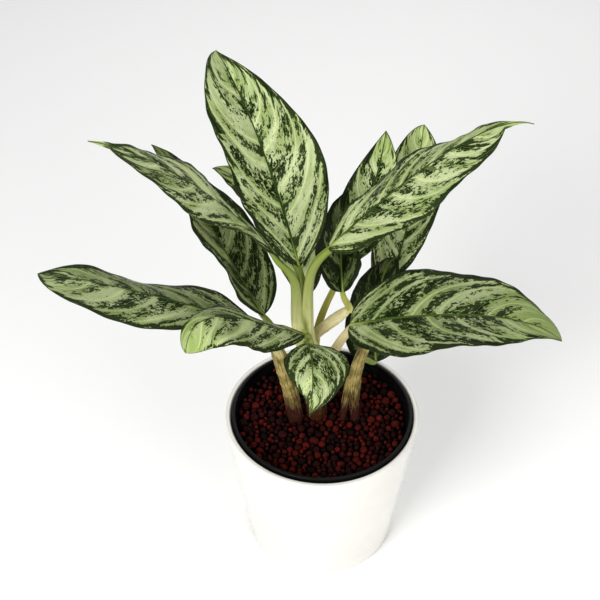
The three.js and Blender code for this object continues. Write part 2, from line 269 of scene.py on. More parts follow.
# %% Glazed stoneware
glazed_stoneware, tree, shader = new_material("glazed_stoneware")
place = add_node(tree, "TexCoord")["Object"]
CLOUD_MM = 25
RIPPLE_MM = 9
clouds = add_node(tree, "TexNoise", {"Vector": place, "Scale": 1000 / CLOUD_MM, "Detail": 3.0})
cloudy = add_node(tree, "Mix", {0: clouds["Fac"], 6: linear("#dad7d0"), 7: linear("#e6e3dc")},
                  data_type="RGBA")[2]
ripple = add_node(tree, "TexNoise", {"Vector": place, "Scale": 1000 / RIPPLE_MM, "Detail": 1.0})
ripple_bump = add_node(tree, "Bump", {"Height": ripple["Fac"], "Strength": 0.12,
                                      "Distance": 0.0004})[0]
fill_inputs(tree, shader, {"Base Color": cloudy, "Normal": ripple_bump, "Roughness": 0.22,
                           "Coat Weight": 0.4, "Coat Roughness": 0.08})
print("glaze patches:", CLOUD_MM, "mm")

# %% Planter
PLANTER_HEIGHT = 163
PLANTER_RIM = 97
PLANTER_FOOT = 76
PLANTER_WALL = 5
PLANTER_FLOOR = 6
planter_profile = rounded_profile(
    [(0, 0), (PLANTER_FOOT, 0), (PLANTER_RIM, PLANTER_HEIGHT),
     (PLANTER_RIM - PLANTER_WALL, PLANTER_HEIGHT), (PLANTER_FOOT - PLANTER_WALL, PLANTER_FLOOR),
     (0, PLANTER_FLOOR)],
    radii=[2.5, 2.2, 2.2, 6])
make_piece("planter_shell", turned(planter_profile), [glazed_stoneware], "planter")

# %% [markdown]
# The nursery pot is black polypropylene, injection moulded: a deep, barely grey black with a
# fine matt grain of about 0.8 mm from the mould, and patches of 14 mm where it is a little
# dustier and duller.

# %% Black polypropylene
black_polypropylene, tree, shader = new_material("moulded_black_polypropylene")
place = add_node(tree, "TexCoord")["Object"]
GRAIN_MM = 0.8
DUST_MM = 14
grain = add_node(tree, "TexNoise", {"Vector": place, "Scale": 1000 / GRAIN_MM, "Detail": 2.0})
dust = add_node(tree, "TexNoise", {"Vector": place, "Scale": 1000 / DUST_MM, "Detail": 4.0})["Fac"]
dusty_black = add_node(tree, "Mix", {0: dust, 6: linear("#030303"), 7: linear("#0b0b0c")},
                       data_type="RGBA")[2]
dull = add_node(tree, "MapRange", {"Value": dust, "From Min": 0.3, "From Max": 0.7,
                                   "To Min": 0.38, "To Max": 0.55})[0]
grain_bump = add_node(tree, "Bump", {"Height": grain["Fac"], "Strength": 0.25,
                                     "Distance": 0.0002})[0]
fill_inputs(tree, shader, {"Base Color": dusty_black, "Roughness": dull, "Normal": grain_bump,
                           "Specular IOR Level": 0.15})
print("mould grain:", GRAIN_MM, "mm")

# %% Nursery pot
POT_TOP = 165
POT_RIM = 90
LIP_WIDTH = 1.8
LIP_HEIGHT = 7
POT_FOOT = 66
POT_WALL = 1.4
CLEARANCE = 0.3
POT_BOTTOM = PLANTER_FLOOR + CLEARANCE
throat = POT_RIM - LIP_WIDTH
pot_profile = rounded_profile(
    [(0, POT_BOTTOM), (POT_FOOT, POT_BOTTOM), (throat, POT_TOP - LIP_HEIGHT),
     (POT_RIM, POT_TOP - LIP_HEIGHT), (POT_RIM, POT_TOP), (throat - POT_WALL, POT_TOP),
     (POT_FOOT - POT_WALL, POT_BOTTOM + POT_WALL), (0, POT_BOTTOM + POT_WALL)],
    radii=[3, 0.6, 0.8, 1.2, 1.2, 2])
make_piece("nursery_pot", turned(pot_profile), [black_polypropylene], "grow_pot")

# %% [markdown]
# ## The clay pebbles
#
# The pot is filled with fired clay pebbles: rounded, matt, dark red-brown, 4 to 11 mm across,
# with deep black gaps between them. Nearly a thousand of them would be slow to place by hand,
# so their places start on a sunflower spiral, which covers a disc evenly, and two that overlap
# are pushed apart, over and over. A second layer shows through the gaps of the first.

# %% Where the pebbles lie
BED_LEVEL = 150
BED_REACH = 85
HEAP_START = 50
HEAP_HEIGHT = 6
SEED = 11
rng = np.random.default_rng(SEED)


def packed_disc(radii, reach, rounds=160):
    """Places for pebbles of these radii on a disc: golden-angle spiral, then in each round
    both of a pair closer than the sum of its radii move away by half of what is missing."""
    turn = np.pi * (3 - 5 ** 0.5)
    count = len(radii)
    i = np.arange(count)
    spread = np.sqrt((i + 0.5) / count) * (reach - radii)
    xy = np.stack([spread * np.cos(i * turn), spread * np.sin(i * turn)], -1)
    for _ in range(rounds):
        apart = xy[:, None] - xy[None]
        distance = np.linalg.norm(apart, axis=-1) + np.eye(count)
        missing = np.clip(radii[:, None] + radii[None] - distance, 0, None) * (1 - np.eye(count))
        xy += 0.5 * (apart / distance[..., None] * missing[..., None]).sum(1)
        out = np.linalg.norm(xy, axis=1)
        xy *= np.minimum(1, (reach - radii) / np.maximum(out, 1e-6))[:, None]
    return xy


def bed_height(x, y):
    """Height of the bed in mm: flat in the middle and heaped up against the pot's wall, with
    the square of the way from the heap's start out to the wall."""
    out = np.clip((np.hypot(x, y) - HEAP_START) / (BED_REACH - HEAP_START), 0, 1)
    return BED_LEVEL + HEAP_HEIGHT * out ** 2


def pebble_layer(count, smallest, largest, lift):
    """Centres and radii of one layer. A power of an even draw makes most pebbles small, and
    each lies three quarters of its radius under the bed's height, lifted and shaken a little."""
    radii = smallest + (largest - smallest) * rng.random(count) ** 2.2
    xy = packed_disc(radii, BED_REACH)
    z = bed_height(*xy.T) + lift - 0.75 * radii + rng.uniform(-1.6, 1.0, count)
    return np.column_stack([xy, z]), radii


top_centres, top_radii = pebble_layer(count=520, smallest=2.1, largest=5.4, lift=1.5)
low_centres, low_radii = pebble_layer(count=430, smallest=2.6, largest=4.6, lift=-4.5)
centres = np.concatenate([top_centres, low_centres])
pebble_radii = np.concatenate([top_radii, low_radii])
pebble_count = len(centres)
print("pebbles:", pebble_count, "from", round(2 * pebble_radii.min(), 1), "to",
      round(2 * pebble_radii.max(), 1), "mm across")


# %% [markdown]
# One pebble is a small ball of eighty triangles. Each copy is dented, squashed and turned its
# own way, so no two look alike.

# %% Shape of the pebbles
BLACK_DEPTH = 6
seed_ball = bmesh.new()
bmesh.ops.create_icosphere(seed_ball, subdivisions=2, radius=1)
ball_points = np.array([v.co for v in seed_ball.verts])
ball_faces = np.array([[v.index for v in f.verts] for f in seed_ball.faces])
seed_ball.free()


def unit(vectors):
    """Each vector divided by its own length."""
    return vectors / np.linalg.norm(vectors, axis=-1, keepdims=True)


def tumbled(count):
    """Random rotations, from random unit quaternions (w, x, y, z)."""
    w, x, y, z = unit(rng.normal(size=(count, 4))).T
    return np.stack([
        1 - 2 * (y * y + z * z), 2 * (x * y - z * w), 2 * (x * z + y * w),
        2 * (x * y + z * w), 1 - 2 * (x * x + z * z), 2 * (y * z - x * w),
        2 * (x * z - y * w), 2 * (y * z + x * w), 1 - 2 * (x * x + y * y),
    ], -1).reshape(-1, 3, 3)


squash = rng.uniform(0.78, 1.0, (pebble_count, 1, 3))
dents = 1 + 0.10 * np.sin(3.1 * ball_points @ rng.normal(size=(3, pebble_count))
                          + rng.uniform(0, 6, pebble_count)).T[..., None]
shaped = ball_points[None] * dents * squash
placed = np.einsum("nij,npj->npi", tumbled(pebble_count), shaped)
pebble_points = centres[:, None] + pebble_radii[:, None, None] * placed
pebble_faces = ball_faces[None] + len(ball_points) * np.arange(pebble_count)[:, None, None]
tints_and_gap_shade = np.repeat(rng.random((pebble_count, 3)), len(ball_points), axis=0)
# Painted shade: the third value of each tint darkens a pebble towards black 6 mm below the top of
# the bed.
buried = bed_height(*pebble_points[..., :2].T).T - pebble_points[..., 2]
tints_and_gap_shade[:, 2] = np.clip(1 - buried.reshape(-1) / BLACK_DEPTH, 0, 1)
print("faces in the pebbles:", pebble_count * len(ball_faces))

# %% [markdown]
# Fired clay is dull and full of pores. Its colour runs from a deep red where the kiln was hot to
# nearly black, so each pebble carries a random tint, and a noise with 2 mm patches darkens it
# further. The shade in the gaps is painted: a pebble gets darker the deeper it lies under the top
# of the bed, and is black 6 mm below it. Pores of 0.7 mm are left to the bump.

# %% Fired clay
fired_clay, tree, shader = new_material("fired_clay")
place = add_node(tree, "TexCoord")["Object"]
tint = add_node(tree, "Attribute", attribute_name="tint")["Vector"]
kiln_heat, _, painted_gap_shade = add_node(tree, "SeparateXYZ", {0: tint})
PATCH_MM = 2.0
PORE_MM = 0.7
patches = add_node(tree, "TexNoise", {"Vector": place, "Scale": 1000 / PATCH_MM, "Detail": 3.0})
pores = add_node(tree, "TexNoise", {"Vector": place, "Scale": 1000 / PORE_MM, "Detail": 2.0})
clay = add_node(tree, "ValToRGB", {0: kiln_heat})["Color"]
kiln_stops = tree.nodes[-1].color_ramp.elements
kiln_stops[0].color = linear("#150202")
kiln_stops[1].position = 0.9
kiln_stops[1].color = linear("#5e140d")
middle_stop = kiln_stops.new(0.5)
middle_stop.color = linear("#350806")
soot = add_node(tree, "MapRange", {"Value": patches["Fac"], "From Min": 0.35, "From Max": 0.65,
                                   "To Min": 0.3, "To Max": 1.0})[0]
# The kiln colour is darkened by the random 2 mm patches and by the painted shade of the gaps.
for darkening in (soot, painted_gap_shade):
    clay = add_node(tree, "Mix", {0: 1.0, 6: clay, 7: darkening}, data_type="RGBA",
                    blend_type="MULTIPLY")[2]
pore_bump = add_node(tree, "Bump", {"Height": pores["Fac"], "Strength": 0.5, "Distance": 0.0005})
fill_inputs(tree, shader, {"Base Color": clay, "Roughness": 0.88, "Specular IOR Level": 0.1,
                           "Normal": pore_bump[0]})
print("clay patches", PATCH_MM, "mm, pores", PORE_MM, "mm")

# %% [markdown]
# Below its two layers of pebbles the bed is one plain block that follows the pot's wall down to
# its floor. It is painted black, as the shade of the deepest gaps.

# %% Pebble bed
BED_BOTTOM = POT_BOTTOM + POT_WALL + CLEARANCE
FOOT_GAP = 1.2
WALL_GAP = 0.8
BLOCK_TOP = BED_LEVEL - 7
block_profile = np.array([(0, BED_BOTTOM), (POT_FOOT - POT_WALL - FOOT_GAP, BED_BOTTOM),
                          (BED_REACH - WALL_GAP, BLOCK_TOP), (0, BLOCK_TOP)], float)
block_points, block_faces, _ = turned(block_profile, sides=96)
# Painted shade: a tint of zeros makes the block black all over.
block = (block_points, block_faces, {"tint": np.zeros((len(block_points), 3))})
pebbles = (pebble_points.reshape(-1, 3), pebble_faces.reshape(-1, 3), {"tint": tints_and_gap_shade})
make_piece("pebble_layer", joined([block, pebbles]), [fired_clay], "pebble_bed")

# %% [markdown]
# ## Curves that the canes and leaves follow
#
# A cane's line and a leaf's midrib are cubic Bezier curves. Rows spaced by equal steps of the
# curve's own parameter bunch up where it bends, so rows are spaced by length instead: measure
# the curve in short chords, and look up which parameter gives each share of the length.


# %% Curves
def bezier(corners, u):
    """(1-u)^3 A + 3u(1-u)^2 B + 3u^2(1-u) C + u^3 D, and the unit direction of travel."""
    a, b, c, d = np.array(corners, float)
    u = u[:, None]
    v = 1 - u
    place = v ** 3 * a + 3 * u * v * v * b + 3 * u * u * v * c + u ** 3 * d
    ahead = v * v * (b - a) + 2 * u * v * (c - b) + u * u * (d - c)
    return place, unit(ahead)


def walked(line):
    """How far each point of a line lies from its start, summed over the straight steps."""
    return np.concatenate([[0], np.cumsum(np.linalg.norm(np.diff(line, axis=0), axis=1))])


def by_length(corners, share):
    """Places and directions at shares of a curve's length, and the length in mm."""
    u = np.linspace(0, 1, 201)
    way = walked(bezier(corners, u)[0])
    place, ahead = bezier(corners, np.interp(share * way[-1], way, u))
    return place, ahead, way[-1]


def upward(ahead):
    """The unit vector nearest to straight up that is square to the direction of travel."""
    return unit(np.array([0, 0, 1.0]) - ahead * ahead[:, 2:])


def tube(line, radius, toward):
    """A shape of rings round a line. toward is a direction that each ring's first point leans
    to, and radius holds one value for each ring and side. Both ends close on a middle point,
    and the mark is where a point would lie if the tube were straight and upright."""
    ahead = unit(np.gradient(line, axis=0))
    front = unit(toward - ahead * (ahead @ toward)[:, None])
    beside = np.cross(ahead, front)
    rings, sides = radius.shape
    a = np.linspace(0, 2 * np.pi, sides, endpoint=False)
    x, y = radius * np.cos(a), radius * np.sin(a)
    grid = line[:, None] + x[..., None] * front[:, None] + y[..., None] * beside[:, None]
    points = np.concatenate([grid.reshape(-1, 3), line[:1], line[-1:]])
    way = walked(line)
    straight = np.stack([x, y, way[:, None] + 0 * x], -1).reshape(-1, 3)
    around = np.concatenate([straight, [[0, 0, 0], [0, 0, way[-1]]]])
    return points, capped_faces(rings, sides), {"around": around}


print("test curve length:", round(by_length([(0, 0, 0), (0, 0, 1), (0, 0, 2), (0, 0, 3)],
                                            np.array([1.0]))[2], 3), "mm of 3")

# %% [markdown]
# ## The canes
#
# The old canes are tan and woody, with long streaks and the rings that fallen leaves leave.
# The young main stem is green, and the sheaths of the top leaves wrap it, so it narrows where
# they take over. A plain pipe would miss the rings and the ribs, so the radius changes round
# the cane and along it: low raised rings for the scars, and steps where a dry sheath ends.

# %% Cane surfaces
CANE_SIDES = 64
RING_STEP = 1.4
SCAR_RISE = 0.07
SCAR_TILT = 1.2
SCAR_HALF = 1.3


def cane_radius(cane, radii, share, length):
    """Radius for each ring and side: the given radii, raised by 7 % at each scar in a tilted
    ridge 2 mm wide, by a slow wave round the cane, and by a saw tooth that drops at each
    edge."""
    a = np.linspace(0, 2 * np.pi, CANE_SIDES, endpoint=False)[None]
    share = share[:, None]
    way = share * length
    base = np.interp(share, np.linspace(0, 1, len(radii)), radii)
    scar = sum(np.exp(-((way - at - SCAR_TILT * np.cos(a)) / SCAR_HALF) ** 2)
               for at in cane["scars"])
    wave = cane["lumps"] * (np.sin(3 * a + way / 11) + 0.6 * np.sin(5 * a - way / 7))
    tooth = 0 * a
    for start, twist, depth in cane["edges"]:
        turn = (a - np.radians(start + twist * share)) / (2 * np.pi)
        tooth = tooth + depth * ((turn % 1) - 0.5)
    return base * (1 + SCAR_RISE * scar + wave + tooth)


# limbs: each one's curve and the radii along it. scars: mm along it. edges: degrees round it
# at its foot, degrees of twist from end to end, and depth. lumps: height of the wave.
CANES = {
    "main_stem": dict(
        limbs=[([(-3, 14, 98), (-3, 12, 165), (-15, 4, 245), (-20, 2, 306)],
                [10.5, 10.6, 10.6, 10.8, 10.8, 10.8, 10.6, 10, 6, 2])],
        scars=[60, 74, 90, 112], edges=[(20, 30, 0.12), (165, -20, 0.12), (260, 25, 0.10)],
        lumps=0.012),
    "left_cane": dict(
        limbs=[([(-23, 10, 104), (-25, 7, 165), (-37, -2, 230), (-49, 0, 266)],
                [7.6, 7.8, 8, 7.8, 7.2, 6.2])],
        scars=[52, 68, 82, 101, 118, 140], edges=[(40, 60, 0.1)], lumps=0.025),
    "second_stem": dict(
        limbs=[([(37, 4, 104), (36, 5, 160), (22, 5, 200), (43, 9, 250)],
                [3.2, 3.4, 5, 6.6, 6, 5]),
               ([(19, 4, 108), (21, 5, 145), (22, 5, 175), (29, 5, 208)],
                [2.8, 3, 3.8, 5])],
        scars=[64, 78, 96, 116], edges=[(10, 40, 0.12)], lumps=0.03),
    "side_branch": dict(
        limbs=[([(-14, 7, 250), (-4, 12, 264), (8, 18, 268), (25, 22, 282)],
                [4, 4.6, 5.4, 5.4, 4.2])],
        scars=[22, 34], edges=[(60, 20, 0.14)], lumps=0.035),
}
print("canes:", ", ".join(CANES))

# %% [markdown]
# Each stem has three colours. The ground and the shade lie in slow patches, and dark threads
# 1 to 2 mm wide and twelve times as long run up the stem. The green stem browns towards the
# pebbles, the woody canes turn red-brown there, and the side branch is wrapped in a dry,
# papery sheath. The patterns are drawn in the stem's own space, so the streaks follow each
# bend: x and y go round it and z along it, in mm.


# %% Stem finishes
STEM_PATCH_MM = 9
THREAD_STRETCH = 12


def stem_finish(name, ground, shade, thread, cover, foot_colour, thread_mm, roughness):
    """A stem's material: patches of ground and shade, threads along the stem where a noise
    stretched 12 to 1 rises over its middle, and the foot's colour where the foot mark and the
    same noise add up to enough. cover is how well a thread hides what is under it."""
    material, tree, shader = new_material(name)
    space = add_node(tree, "Attribute", attribute_name="around")["Vector"]
    foot = add_node(tree, "Attribute", attribute_name="foot")["Vector"]
    foot_share = add_node(tree, "SeparateXYZ", {0: foot})["X"]
    stretch = (1 / thread_mm, 1 / thread_mm, 1 / (THREAD_STRETCH * thread_mm))
    long_way = add_node(tree, "Mapping", {"Vector": space, "Scale": stretch})
    threads = add_node(tree, "TexNoise", {"Vector": long_way[0], "Scale": 1.0, "Detail": 4.0,
                                          "Roughness": 0.6})["Fac"]
    slow = add_node(tree, "TexNoise", {"Vector": space, "Scale": 1 / STEM_PATCH_MM,
                                       "Detail": 3.0})["Fac"]
    patch = add_node(tree, "MapRange", {"Value": slow, "From Min": 0.35, "From Max": 0.65})[0]
    body = add_node(tree, "Mix", {0: patch, 6: linear(ground), 7: linear(shade)},
                    data_type="RGBA")[2]
    line = add_node(tree, "MapRange", {"Value": threads, "From Min": 0.48, "From Max": 0.62,
                                       "To Max": cover})[0]
    lined = add_node(tree, "Mix", {0: line, 6: body, 7: linear(thread)}, data_type="RGBA")[2]
    dryness = add_node(tree, "Math", {0: foot_share, 1: threads}, operation="ADD")[0]
    dry = add_node(tree, "MapRange", {"Value": dryness, "From Min": 0.9, "From Max": 1.3})[0]
    dried = add_node(tree, "Mix", {0: dry, 6: lined, 7: linear(foot_colour)}, data_type="RGBA")[2]
    bump = add_node(tree, "Bump", {"Height": threads, "Strength": 0.5, "Distance": 0.0008})[0]
    fill_inputs(tree, shader, {"Base Color": dried, "Normal": bump, "Roughness": roughness,
                               "Specular IOR Level": 0.3})
    return material


green_stem = stem_finish("young_green_stem", "#b3b36b", "#8c933f", "#66752a", 0.6, "#3c1d0c",
                         1.6, 0.5)
woody_cane = stem_finish("woody_cane", "#a8965a", "#6e6228", "#43330f", 0.8, "#34130a", 1.3, 0.6)
papery_sheath = stem_finish("papery_sheath", "#d9d2a2", "#c9bc86", "#a68d63", 0.4, "#a3934a",
                            1.5, 0.65)
print("stem finishes:", green_stem.name, woody_cane.name, papery_sheath.name)

# %% Build the canes
CANE_FINISH = {"main_stem": (green_stem, "green_stem"), "side_branch": (papery_sheath, "tan_cane")}
TOWARD_VIEWER = np.array([0, -1.0, 0])
FOOT_REACH = 90
DOME_REACH = 9
DOME_END = 0.35


def dome(share, length):
    """Factor on the radius: 1, and a quarter ellipse down to 0.35 over the last 9 mm."""
    left = np.clip((1 - share) * length / DOME_REACH, 0, 1)
    return DOME_END + (1 - DOME_END) * np.sqrt(1 - (1 - left) ** 2)


for cane_name, cane in CANES.items():
    finish, cane_slot = CANE_FINISH.get(cane_name, (woody_cane, "tan_cane"))
    limbs = []
    for corners, radii in cane["limbs"]:
        length = by_length(corners, np.array([1.0]))[2]
        share = np.linspace(0, 1, int(length / RING_STEP))
        radius = cane_radius(cane, radii, share, length) * dome(share, length)[:, None]
        points, faces, marks = tube(by_length(corners, share)[0], radius, TOWARD_VIEWER)
        foot = np.clip((BED_LEVEL + FOOT_REACH - points[:, 2]) / FOOT_REACH, 0, 1)
        marks["foot"] = np.column_stack([foot, foot, foot])
        limbs.append((points, faces, marks))
    make_piece(cane_name + "_skin", joined(limbs), [finish], cane_name)

# %% [markdown]
# ## The leaves
#
# Each leaf is a petiole and a thin blade with a waved edge. The blade is a surface with two
# parameters: s runs from the petiole to the tip, and t from the right edge over the midrib to
# the left edge. The table has the model's values, apart from the wider tail of the upper right
# leaf, so each blade lies where its solid does. A half is: greatest width, the powers that
# narrow it towards the petiole and the tip, its rise in degrees at either end, and the height
# and phase of its waved edge. A tail is the share of the midrib that goes on past the blade's
# outline as a thin drawn-out tip. stalk is the petiole's radius at the cane and at the blade.

# %% The leaves' sizes
HALF = ("width", "base", "tip", "rise_base", "rise_tip", "wave", "phase")
LEAVES = {
    "crown": dict(
        root=(-20, 4, 292), leave=(0, 0, 1), stalk=(4.4, 3.2),
        midrib=[(-23, 4, 348), (-38, 25, 406), (-65, 64, 481), (-95, 95, 516)],
        left=(49, 0.8, 0.52, 15, 20, 3, 0), right=(50, 0.75, 1.12, 12, 20, 3, 90), waves=2.2,
        plain_tip=0.4),
    "upper_left": dict(
        root=(-25, 1, 284), leave=(-0.05, 0, 1), stalk=(5.4, 3.2),
        midrib=[(-36, -15, 367), (-76, -30, 440), (-131, -40, 500), (-187, -48, 517)],
        left=(40, 1.7, 1.05, 4, -10, 3, 150), right=(37, 1.2, 1.1, -10, -6, 3, 0),
        waves=2.4, tail=0.07),
    "upper_right": dict(
        root=(-15, 2, 282), leave=(0, 0, 1), stalk=(5.8, 3.4),
        midrib=[(3, -6, 378), (46, -10, 432), (127, 0, 517), (168, -5, 505)],
        left=(37, 0.55, 0.75, 6, -24, 3, 0), right=(43, 0.6, 0.65, -4, -26, 3, 200),
        waves=2.6, tail=0.11, tail_half=3.8),
    "hanging_left": dict(
        root=(-44, 2, 252), leave=(-0.1, 0.3, 1), stalk=(4.2, 2.6),
        midrib=[(-56, 12, 282), (-80, 30, 310), (-111, 70, 368), (-158, 90, 422)],
        left=(40, 0.6, 0.9, 42, 35, 4, 200), right=(40, 0.5, 0.9, 14, -5, 3, 60), waves=2.2,
        plain_tip=1),
    "far_left": dict(
        root=(-42, -3, 246), leave=(-0.3, -0.3, 1), stalk=(4.4, 2.8),
        midrib=[(-66, -12, 295), (-121, -18, 321), (-197, -28, 361), (-249, -35, 372)],
        left=(42, 0.9, 0.62, 2, -8, 3, 0), right=(38, 0.45, 0.75, -12, -19, 6, 13), waves=1.43,
        plain_tip=0.3),
    "lower_left": dict(
        root=(-22, -4, 262), leave=(-0.2, -0.8, 0.8), stalk=(4.2, 2.6),
        midrib=[(-17, -24, 291), (-52, -42, 314), (-114, -66, 385), (-121, -80, 320)],
        left=(36, 0.8, 0.6, -16, -10, 3, 0), right=(31, 0.6, 0.65, -20, -22, 3, 90), waves=2,
        fine=1.3, plain_tip=1),
    "front": dict(
        root=(-11, -3, 252), leave=(0.1, -0.9, 0.5), stalk=(4, 2.4),
        midrib=[(-16, -38, 293), (-11, -66, 310), (-8, -93, 297), (-14, -94, 256)],
        left=(35, 1.1, 1.6, -14, -10, 2, 0), right=(25, 0.8, 1.5, -6, -6, 2, 180), waves=1.5,
        fine=1.5, plain_tip=0.8),
    "back_left": dict(
        root=(-18, 8, 262), leave=(0, 0.8, 0.9), stalk=(4, 2.4),
        midrib=[(-22, 22, 295), (-20, 52, 316), (-58, 107, 374), (-107, 130, 368)],
        left=(22, 0.8, 0.9, 5, 5, 2, 0), right=(30, 0.5, 0.85, 10, 10, 3, 90), waves=2,
        plain_tip=1),
    "dark_centre": dict(
        root=(25, 22, 278), leave=(0, 0, 1), stalk=(3.6, 2.4),
        midrib=[(18, 20, 304), (16, 38, 326), (15, 64, 349), (24, 76, 381)],
        left=(27, 0.45, 0.85, 30, 35, 3, 0), right=(24, 0.5, 0.85, 50, 45, 3, 90), waves=2),
    "back_centre": dict(
        root=(-7, 12, 234), leave=(0, 0.6, 1), stalk=(3.8, 2.4),
        midrib=[(21, 50, 313), (35, 72, 340), (54, 102, 376), (59, 125, 414)],
        left=(27, 0.6, 0.95, 15, 15, 2, 0), right=(29, 0.6, 0.85, 15, 15, 2, 90), waves=2,
        plain_tip=1),
    "back_right": dict(
        root=(29, 6, 192), leave=(0.2, 1, -0.25), arrive=(0.15, 0.25, 1), stalk=(4, 2.6),
        midrib=[(57, 82, 243), (88, 108, 284), (93, 142, 346), (99, 162, 397)],
        left=(34, 0.6, 0.6, 10, 10, 3, 0), right=(29, 1.3, 0.8, 8, 8, 3, 90), waves=2, fine=1.3,
        plain_tip=0.8),
    "behind_right": dict(
        root=(34, 9, 224), leave=(0.7, 0.7, 0), arrive=(0.6, 0.7, -0.4), stalk=(3.4, 2.4),
        midrib=[(54, 30, 203), (49, 45, 246), (57, 80, 304), (76, 94, 284)],
        left=(31, 0.4, 0.85, -10, -10, 3, 0), right=(31, 0.4, 0.85, -10, -10, 3, 90), waves=2),
    "right": dict(
        root=(-8, 2, 214), leave=(0.5, -0.3, 1), arrive=(0.3, -0.3, 1), stalk=(5.4, 4),
        midrib=[(23, -26, 304), (82, -52, 343), (171, -60, 357), (206, -68, 323)],
        left=(48, 0.4, 0.62, 30, 0, 3, 200), right=(48, 0.55, 0.9, -8, 8, 3, 0), waves=2.4,
        plain_tip=1),
}

# How dark and plain each leaf is, partly its own colour and partly painted shade for the leaves
# that lie lower or further back: 0 is pale and silvery, 1 is dark green with faint marks.
TONE_AND_SHADE = {"dark_centre": 0.85, "behind_right": 0.92, "back_left": 0.4, "hanging_left": 0.6,
        "back_right": 0.1, "right": 0.42, "far_left": 0.3, "lower_left": 0.25, "front": 0.28,
        "upper_left": 0.1, "upper_right": 0.1}
print("leaves:", len(LEAVES))

# %% [markdown]
# A real blade isn't flat between its edges. The side veins lie in shallow grooves and the
# flesh swells between them, the midrib is a channel above and a ridge below, and the blade
# thins towards its edge. These are small heights added along the surface's own normal.

# %% Blade surface
ROWS = 130
COLUMNS = 57
STALK_HALF = 1.6
TIP_HALF = 0.5
TAIL_HALF = 2.6
VEIN_SPACING = 33
SWELL = 0.9


def even(ends, share):
    """A value that goes evenly from the first end to the second as the share goes to 1."""
    return ends[0] + (ends[1] - ends[0]) * share


def outline(s, base, tip):
    """Share of the greatest width: s^base (1-s)^tip, scaled to be 1 at its widest place."""
    widest = base / (base + tip)
    return (s / widest) ** base * ((1 - s) / (1 - widest)) ** tip


def half_width(half, s, tail, tail_half):
    """Half width in mm: the outline, which ends where the tail begins, or the tail's own taper,
    or the least width, whichever is widest."""
    body = half["width"] * outline(np.minimum(s / (1 - tail), 1), half["base"], half["tip"])
    drawn_out = tail_half * s * np.minimum((1 - s) / tail, 1) if tail else 0
    return np.maximum(np.maximum(body, drawn_out), even((STALK_HALF, TIP_HALF), s))


def blade_surface(leaf, draw):
    """The middle surface of a blade, its normals, and the marks that the finish needs. A side
    vein starts at 60 degrees to the midrib and bends forward: it has gone W (0.6 t + 1.2 t^3)
    along when it is t of the way to the margin. Uneven steps come from two slow sines. The
    islands lean less, by W (0.6 t + 0.25 t^2). plain is 1 on a drawn-out tip, and on other
    leaves it grows over the last part of the blade to the leaf's own plain_tip."""
    s = np.linspace(0, 1, ROWS)
    s = 0.5 * s + 0.25 * (1 - np.cos(np.pi * s))
    middle, ahead, length = by_length(leaf["midrib"], s)
    up = upward(ahead)[:, None]
    leftward = np.cross(up[:, 0], ahead)[:, None]
    t = np.linspace(-1, 1, COLUMNS)[None]
    s = s[:, None]
    half = {k: np.where(t < 0, r, l) for k, r, l in zip(HALF, leaf["right"], leaf["left"])}
    tail = leaf.get("tail", 0)
    width = half_width(half, s, tail, leaf.get("tail_half", TAIL_HALF))
    rise = np.radians(even((half["rise_base"], half["rise_tip"]), s))
    fade = np.minimum(1, np.minimum(6 * s, 6 * (1 - s)))
    turn = 2 * np.pi * leaf["waves"] * s
    wave = fade * half["wave"] * t * t * np.sin(turn + np.radians(half["phase"]))
    across = t * width
    t = abs(t)
    fine = leaf.get("fine", 1)
    vein = s * length - half["width"] * (0.6 * t + 1.2 * t ** 3)
    side = np.sign(across)
    uneven = 0.16 * np.sin(vein / 9 + 5 * draw + side) + 0.1 * np.sin(vein / 4.3 + 9 * draw - side)
    laterals = fine * vein / VEIN_SPACING + uneven + 0.2 * side
    between = 0.5 - 0.5 * np.cos(2 * np.pi * laterals)
    swell = SWELL * fade * (np.sin(np.pi * t) ** 0.7) * between ** 0.7
    ripple = 0.5 * fade * t ** 5 * np.sin(4.3 * turn + 9 * side)
    cos, sin = np.cos(rise)[..., None], np.sin(rise)[..., None]
    normal = up * cos - side[..., None] * leftward * sin
    place = (middle[:, None] + leftward * across[..., None] * cos
             + up * abs(across)[..., None] * sin + normal * (wave + swell + ripple)[..., None])
    slanted = s * length - half["width"] * (0.6 * t + 0.25 * t * t)
    on_tail = np.clip((s - 1 + 1.6 * tail) / max(tail, 0.01), 0, 1) * (tail > 0)
    plain = np.maximum(on_tail, leaf.get("plain_tip", 0) * np.clip((s - 0.55) / 0.4, 0, 1))
    marks = {
        "veins": np.stack([slanted * fine, across * fine, (1 - t) * width + 6 * on_tail], -1),
        "share": np.stack([s + 0 * t, plain + 0 * t, laterals], -1),
    }
    return place, normal, s, across, marks


print("blade grid:", ROWS, "by", COLUMNS)


# %% [markdown]
# The upper face is the middle surface raised by half of the thickness and sunk along the
# midrib. The lower face is the other side, with the ridge of the midrib, which the petiole
# runs into. A narrow wall closes the edge all round, and stays sharp so that it doesn't
# smear the shading of the faces.


# %% Blade with two faces
HALF_THICKNESS = (0.38, 0.18)  # at the midrib, at the edge
CHANNEL_DEPTH = (0.9, 0.2)  # at the petiole, at the tip, like the next two
RIDGE_HEIGHT = (2.3, 0.3)
RIDGE_HALF = (2.6, 1.0)
CHANNEL_HALF = 1.5


